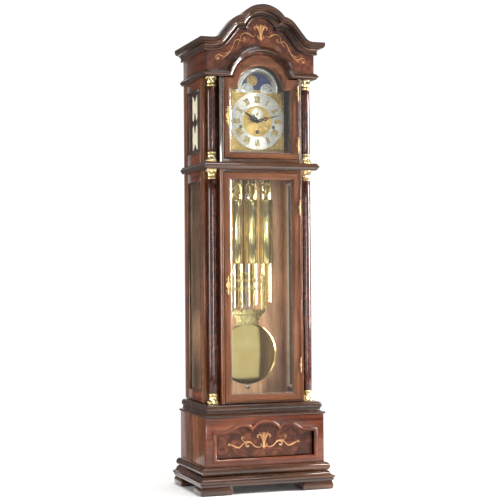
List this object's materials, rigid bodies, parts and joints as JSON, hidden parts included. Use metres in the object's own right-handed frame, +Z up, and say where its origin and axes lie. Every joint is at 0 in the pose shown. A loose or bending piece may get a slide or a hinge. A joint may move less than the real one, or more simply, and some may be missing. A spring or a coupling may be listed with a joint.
{
  "type": "grandfather clock",
  "caption": "Floor-standing longcase clock with an arched bonnet, glazed doors, corner columns, moon dial, cable-hung weights, tubular chime and a lyre pendulum.",
  "frame": {"origin": "on the floor at the middle of the footprint", "axes": "+Z up, +X to the viewer's right, the dial faces -Y and the back panel +Y"},
  "size_m": [0.62, 0.422, 2.12],
  "materials": {
    "dark_wood": "polished dark mahogany",
    "case_wood": "polished mahogany",
    "door_wood": "polished mahogany",
    "burr_wood": "polished burr veneer",
    "back_wood": "lacquered light mahogany",
    "inlay_wood": "pale marquetry",
    "side_glass": "clear",
    "door_glass": "clear, bevelled edge",
    "cloth": "pale woven cloth",
    "brass": "lacquered",
    "gilt": "gilt casting",
    "tube_brass": "polished",
    "bob_brass": "mirror polished",
    "weight_brass": "polished shell over a heavy core",
    "silvered": "silvered brass",
    "moon_paint": "painted night sky",
    "hand_black": "blackened steel",
    "steel": "polished steel",
    "cable_steel": "stranded cable"
  },
  "bodies": {
    "case": {"feet": "dark_wood", "plinth_moulding": "dark_wood", "base_boards": "case_wood", "base_panel": "burr_wood", "base_panel_moulding": "case_wood", "lower_moulding": "dark_wood", "back_panel": "back_wood", "trunk_side_frames": "case_wood", "trunk_side_glass": "side_glass", "trunk_front_frame": "case_wood", "columns": "dark_wood", "column_capitals": "brass", "mid_moulding": "dark_wood", "hood_side_frames": "case_wood", "hood_side_frets": "case_wood", "hood_side_cloth": "cloth", "hood_front_frame": "case_wood", "hood_cornice": "dark_wood", "frieze_board": "burr_wood", "crown_moulding": "dark_wood", "roof_board": "back_wood", "inlays": "inlay_wood", "case_hinge_halves": "brass", "seatboard": "back_wood", "movement_frame": "brass", "chime_tubes": "tube_brass", "chime_rack": "back_wood", "dial_plate": "brass", "chapter_ring": "silvered", "dial_filigree": "gilt", "moon_arch": "silvered", "moon_bracket": "brass", "cable_left": "cable_steel", "cable_centre": "cable_steel", "cable_right": "cable_steel"},
    "trunk_door": {"trunk_door_frame": "door_wood", "trunk_door_glass": "door_glass", "trunk_door_brassware": "brass"},
    "hood_door": {"hood_door_frame": "door_wood", "hood_door_glass": "door_glass", "hood_door_brassware": "brass"},
    "pendulum": {"pendulum_rod": "steel", "pendulum_lyre": "brass", "pendulum_bob": "bob_brass"},
    "anchor": {"anchor": "steel"},
    "minute_hand": {"minute_hand": "hand_black"},
    "hour_hand": {"hour_hand": "hand_black"},
    "escape_wheel": {"escape_wheel": "brass", "second_hand": "hand_black"},
    "moon_disc": {"moon_disc": "moon_paint"},
    "chime_hammers": {"chime_hammers": "brass"},
    "drum_left": {"cable_drum_left": "brass"},
    "weight_left": {"weight_left": "weight_brass"},
    "pulley_left": {"pulley_left": "brass"},
    "drum_centre": {"cable_drum_centre": "brass"},
    "weight_centre": {"weight_centre": "weight_brass"},
    "pulley_centre": {"pulley_centre": "brass"},
    "drum_right": {"cable_drum_right": "brass"},
    "weight_right": {"weight_right": "weight_brass"},
    "pulley_right": {"pulley_right": "brass"}
  },
  "joints": [
    {"name": "trunk_door_hinge", "type": "hinge", "parent": "case", "child": "trunk_door", "pos_m": [0.17475, -0.1545, 0.89], "axis": [0, 0, 1], "range_deg": [0, 110]},
    {"name": "hood_door_hinge", "type": "hinge", "parent": "case", "child": "hood_door", "pos_m": [0.17075, -0.1545, 1.62], "axis": [0, 0, 1], "range_deg": [0, 110]},
    {"name": "pendulum_swing", "type": "hinge", "parent": "case", "child": "pendulum", "pos_m": [0, 0.061, 1.678], "axis": [0, 1, 0], "range_deg": [-2.5, 2.5]},
    {"name": "anchor_rock", "type": "hinge", "parent": "case", "child": "anchor", "pos_m": [0, 0.061, 1.678], "axis": [0, 1, 0], "range_deg": [-2.5, 2.5]},
    {"name": "minute_hand_turn", "type": "hinge", "parent": "case", "child": "minute_hand", "pos_m": [0, -0.102, 1.618], "axis": [0, 1, 0], "continuous": true},
    {"name": "hour_hand_turn", "type": "hinge", "parent": "case", "child": "hour_hand", "pos_m": [0, -0.098, 1.618], "axis": [0, 1, 0], "continuous": true},
    {"name": "second_hand_turn", "type": "hinge", "parent": "case", "child": "escape_wheel", "pos_m": [0, -0.094, 1.65], "axis": [0, 1, 0], "continuous": true},
    {"name": "moon_disc_turn", "type": "hinge", "parent": "case", "child": "moon_disc", "pos_m": [0, -0.084, 1.757], "axis": [0, 1, 0], "continuous": true},
    {"name": "hammer_stroke", "type": "hinge", "parent": "case", "child": "chime_hammers", "pos_m": [0, 0.113, 1.6], "axis": [1, 0, 0], "range_deg": [-3, 10], "stiffness_Nm_per_rad": 2},
    {"name": "weight_left_drop", "type": "slide", "parent": "case", "child": "weight_left", "axis": [0, 0, 1], "range_m": [-0.66, 0.06], "deforming": ["cable_left"]},
    {"name": "pulley_left_turn", "type": "hinge", "parent": "weight_left", "child": "pulley_left", "pos_m": [-0.072, 0.001, 1.328], "axis": [0, 1, 0], "continuous": true},
    {"name": "drum_left_turn", "type": "hinge", "parent": "case", "child": "drum_left", "pos_m": [-0.076, 0.001, 1.593], "axis": [0, 1, 0], "continuous": true},
    {"name": "weight_centre_drop", "type": "slide", "parent": "case", "child": "weight_centre", "axis": [0, 0, 1], "range_m": [-0.66, 0.06], "deforming": ["cable_centre"]},
    {"name": "pulley_centre_turn", "type": "hinge", "parent": "weight_centre", "child": "pulley_centre", "pos_m": [0, 0.001, 1.328], "axis": [0, 1, 0], "continuous": true},
    {"name": "drum_centre_turn", "type": "hinge", "parent": "case", "child": "drum_centre", "pos_m": [0, 0.001, 1.571], "axis": [0, 1, 0], "continuous": true},
    {"name": "weight_right_drop", "type": "slide", "parent": "case", "child": "weight_right", "axis": [0, 0, 1], "range_m": [-0.66, 0.06], "deforming": ["cable_right"]},
    {"name": "pulley_right_turn", "type": "hinge", "parent": "weight_right", "child": "pulley_right", "pos_m": [0.072, 0.001, 1.328], "axis": [0, 1, 0], "continuous": true},
    {"name": "drum_right_turn", "type": "hinge", "parent": "case", "child": "drum_right", "pos_m": [0.076, 0.001, 1.593], "axis": [0, 1, 0], "continuous": true}
  ],
  "couplings": [
    {"joint": "anchor_rock", "follows": "pendulum_swing", "ratio": 1},
    {"joint": "hour_hand_turn", "follows": "minute_hand_turn", "ratio": 0.083333},
    {"joint": "second_hand_turn", "follows": "minute_hand_turn", "ratio": 60},
    {"joint": "moon_disc_turn", "follows": "minute_hand_turn", "ratio": 0.0007055},
    {"joint": "pulley_left_turn", "follows": "weight_left_drop", "rad_per_m": 45.455},
    {"joint": "drum_left_turn", "follows": "weight_left_drop", "rad_per_m": 111.11},
    {"joint": "pulley_centre_turn", "follows": "weight_centre_drop", "rad_per_m": 45.455},
    {"joint": "drum_centre_turn", "follows": "weight_centre_drop", "rad_per_m": 90.909},
    {"joint": "pulley_right_turn", "follows": "weight_right_drop", "rad_per_m": -45.455},
    {"joint": "drum_right_turn", "follows": "weight_right_drop", "rad_per_m": -111.11}
  ]
}
